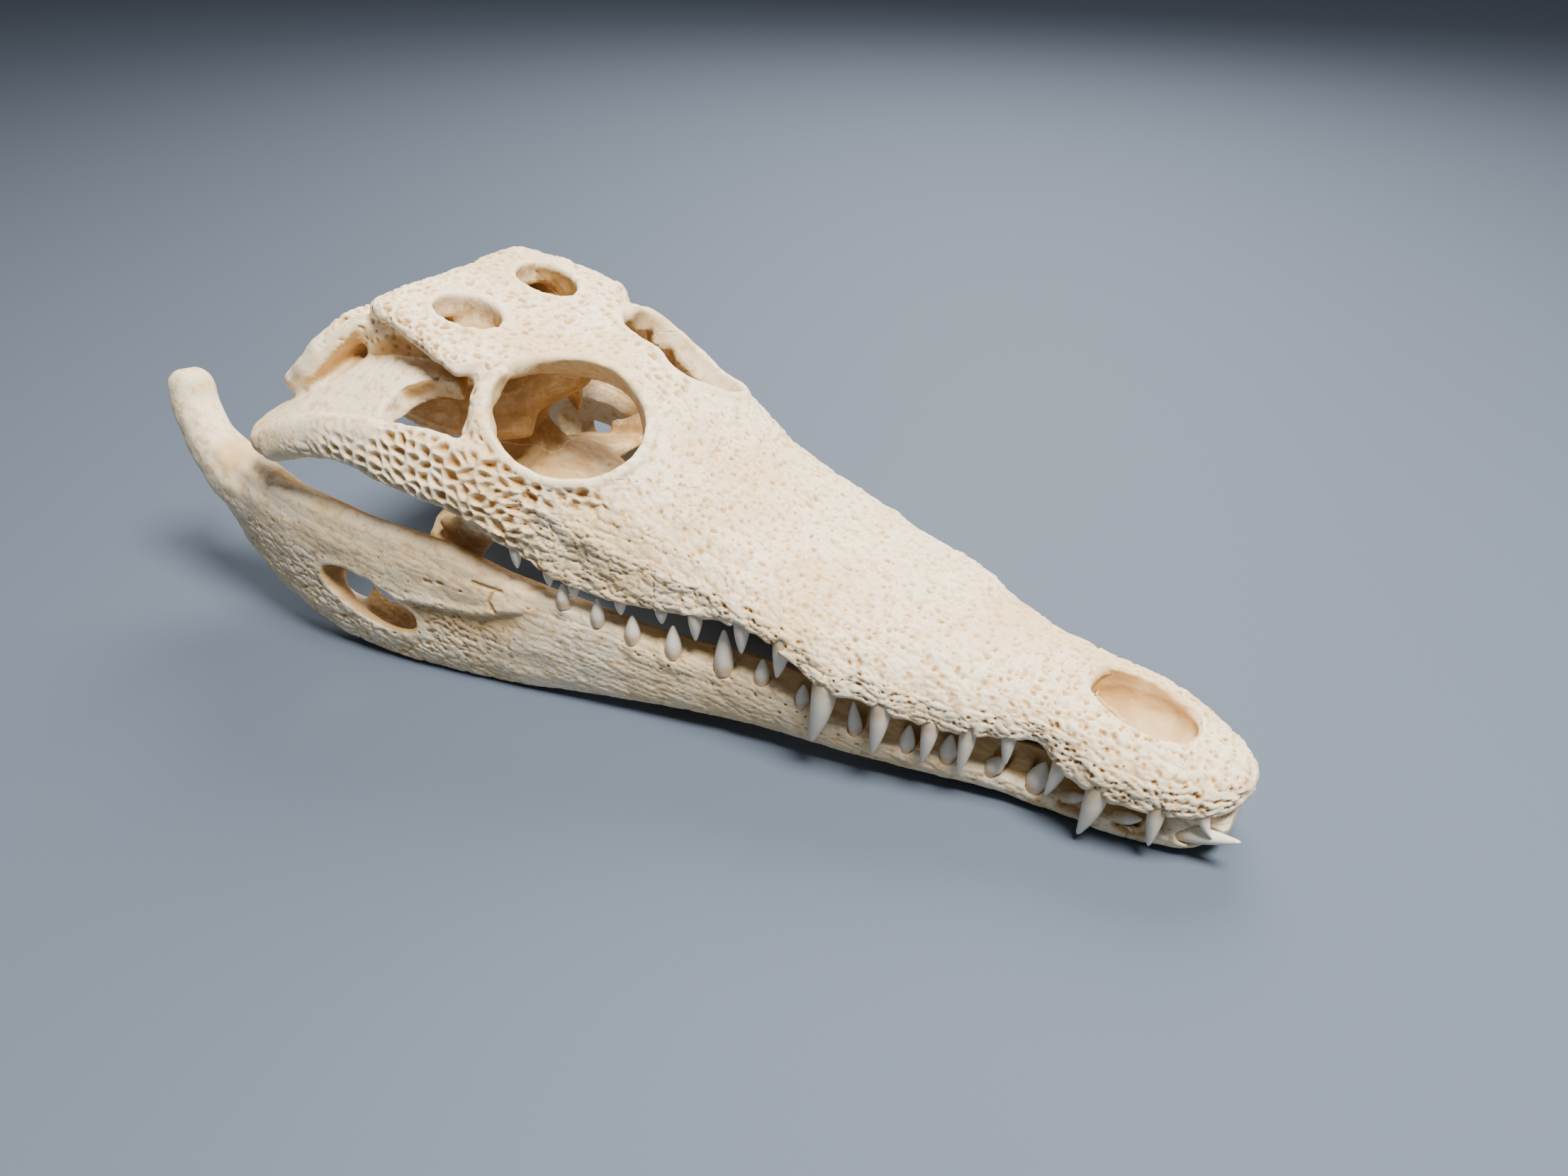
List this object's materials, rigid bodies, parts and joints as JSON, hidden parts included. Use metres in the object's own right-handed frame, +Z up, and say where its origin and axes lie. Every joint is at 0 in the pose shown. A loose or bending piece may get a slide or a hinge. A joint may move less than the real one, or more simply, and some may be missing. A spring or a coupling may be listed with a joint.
{
  "type": "crocodile skull",
  "caption": "Bleached crocodile skull with its lower jaw nearly closed, resting flat as a life-size study and display piece.",
  "frame": {"origin": "on the floor, under the centre of the box round the whole skull", "axes": "+X towards the snout tip, +Y towards the animal's left side, +Z up"},
  "size_m": [0.3647, 0.141, 0.1135],
  "materials": {
    "bone": "dry bleached bone, matte, pitted",
    "inner_bone": "dry bone browned in the cavities, matte",
    "teeth": "smooth dry enamel, satin"
  },
  "bodies": {
    "root": {"premaxilla": "bone", "maxilla": "bone", "skull_roof": "bone", "jugal_right": "bone", "jugal_left": "bone", "quadrate_right": "bone", "quadrate_left": "bone", "palatine": "inner_bone", "braincase": "inner_bone", "ectopterygoid_right": "inner_bone", "ectopterygoid_left": "inner_bone", "pterygoid": "inner_bone", "dentary_right": "bone", "dentary_left": "bone", "surangular_right": "bone", "surangular_left": "bone", "articular_right": "bone", "articular_left": "bone"}
  },
  "joints": []
}
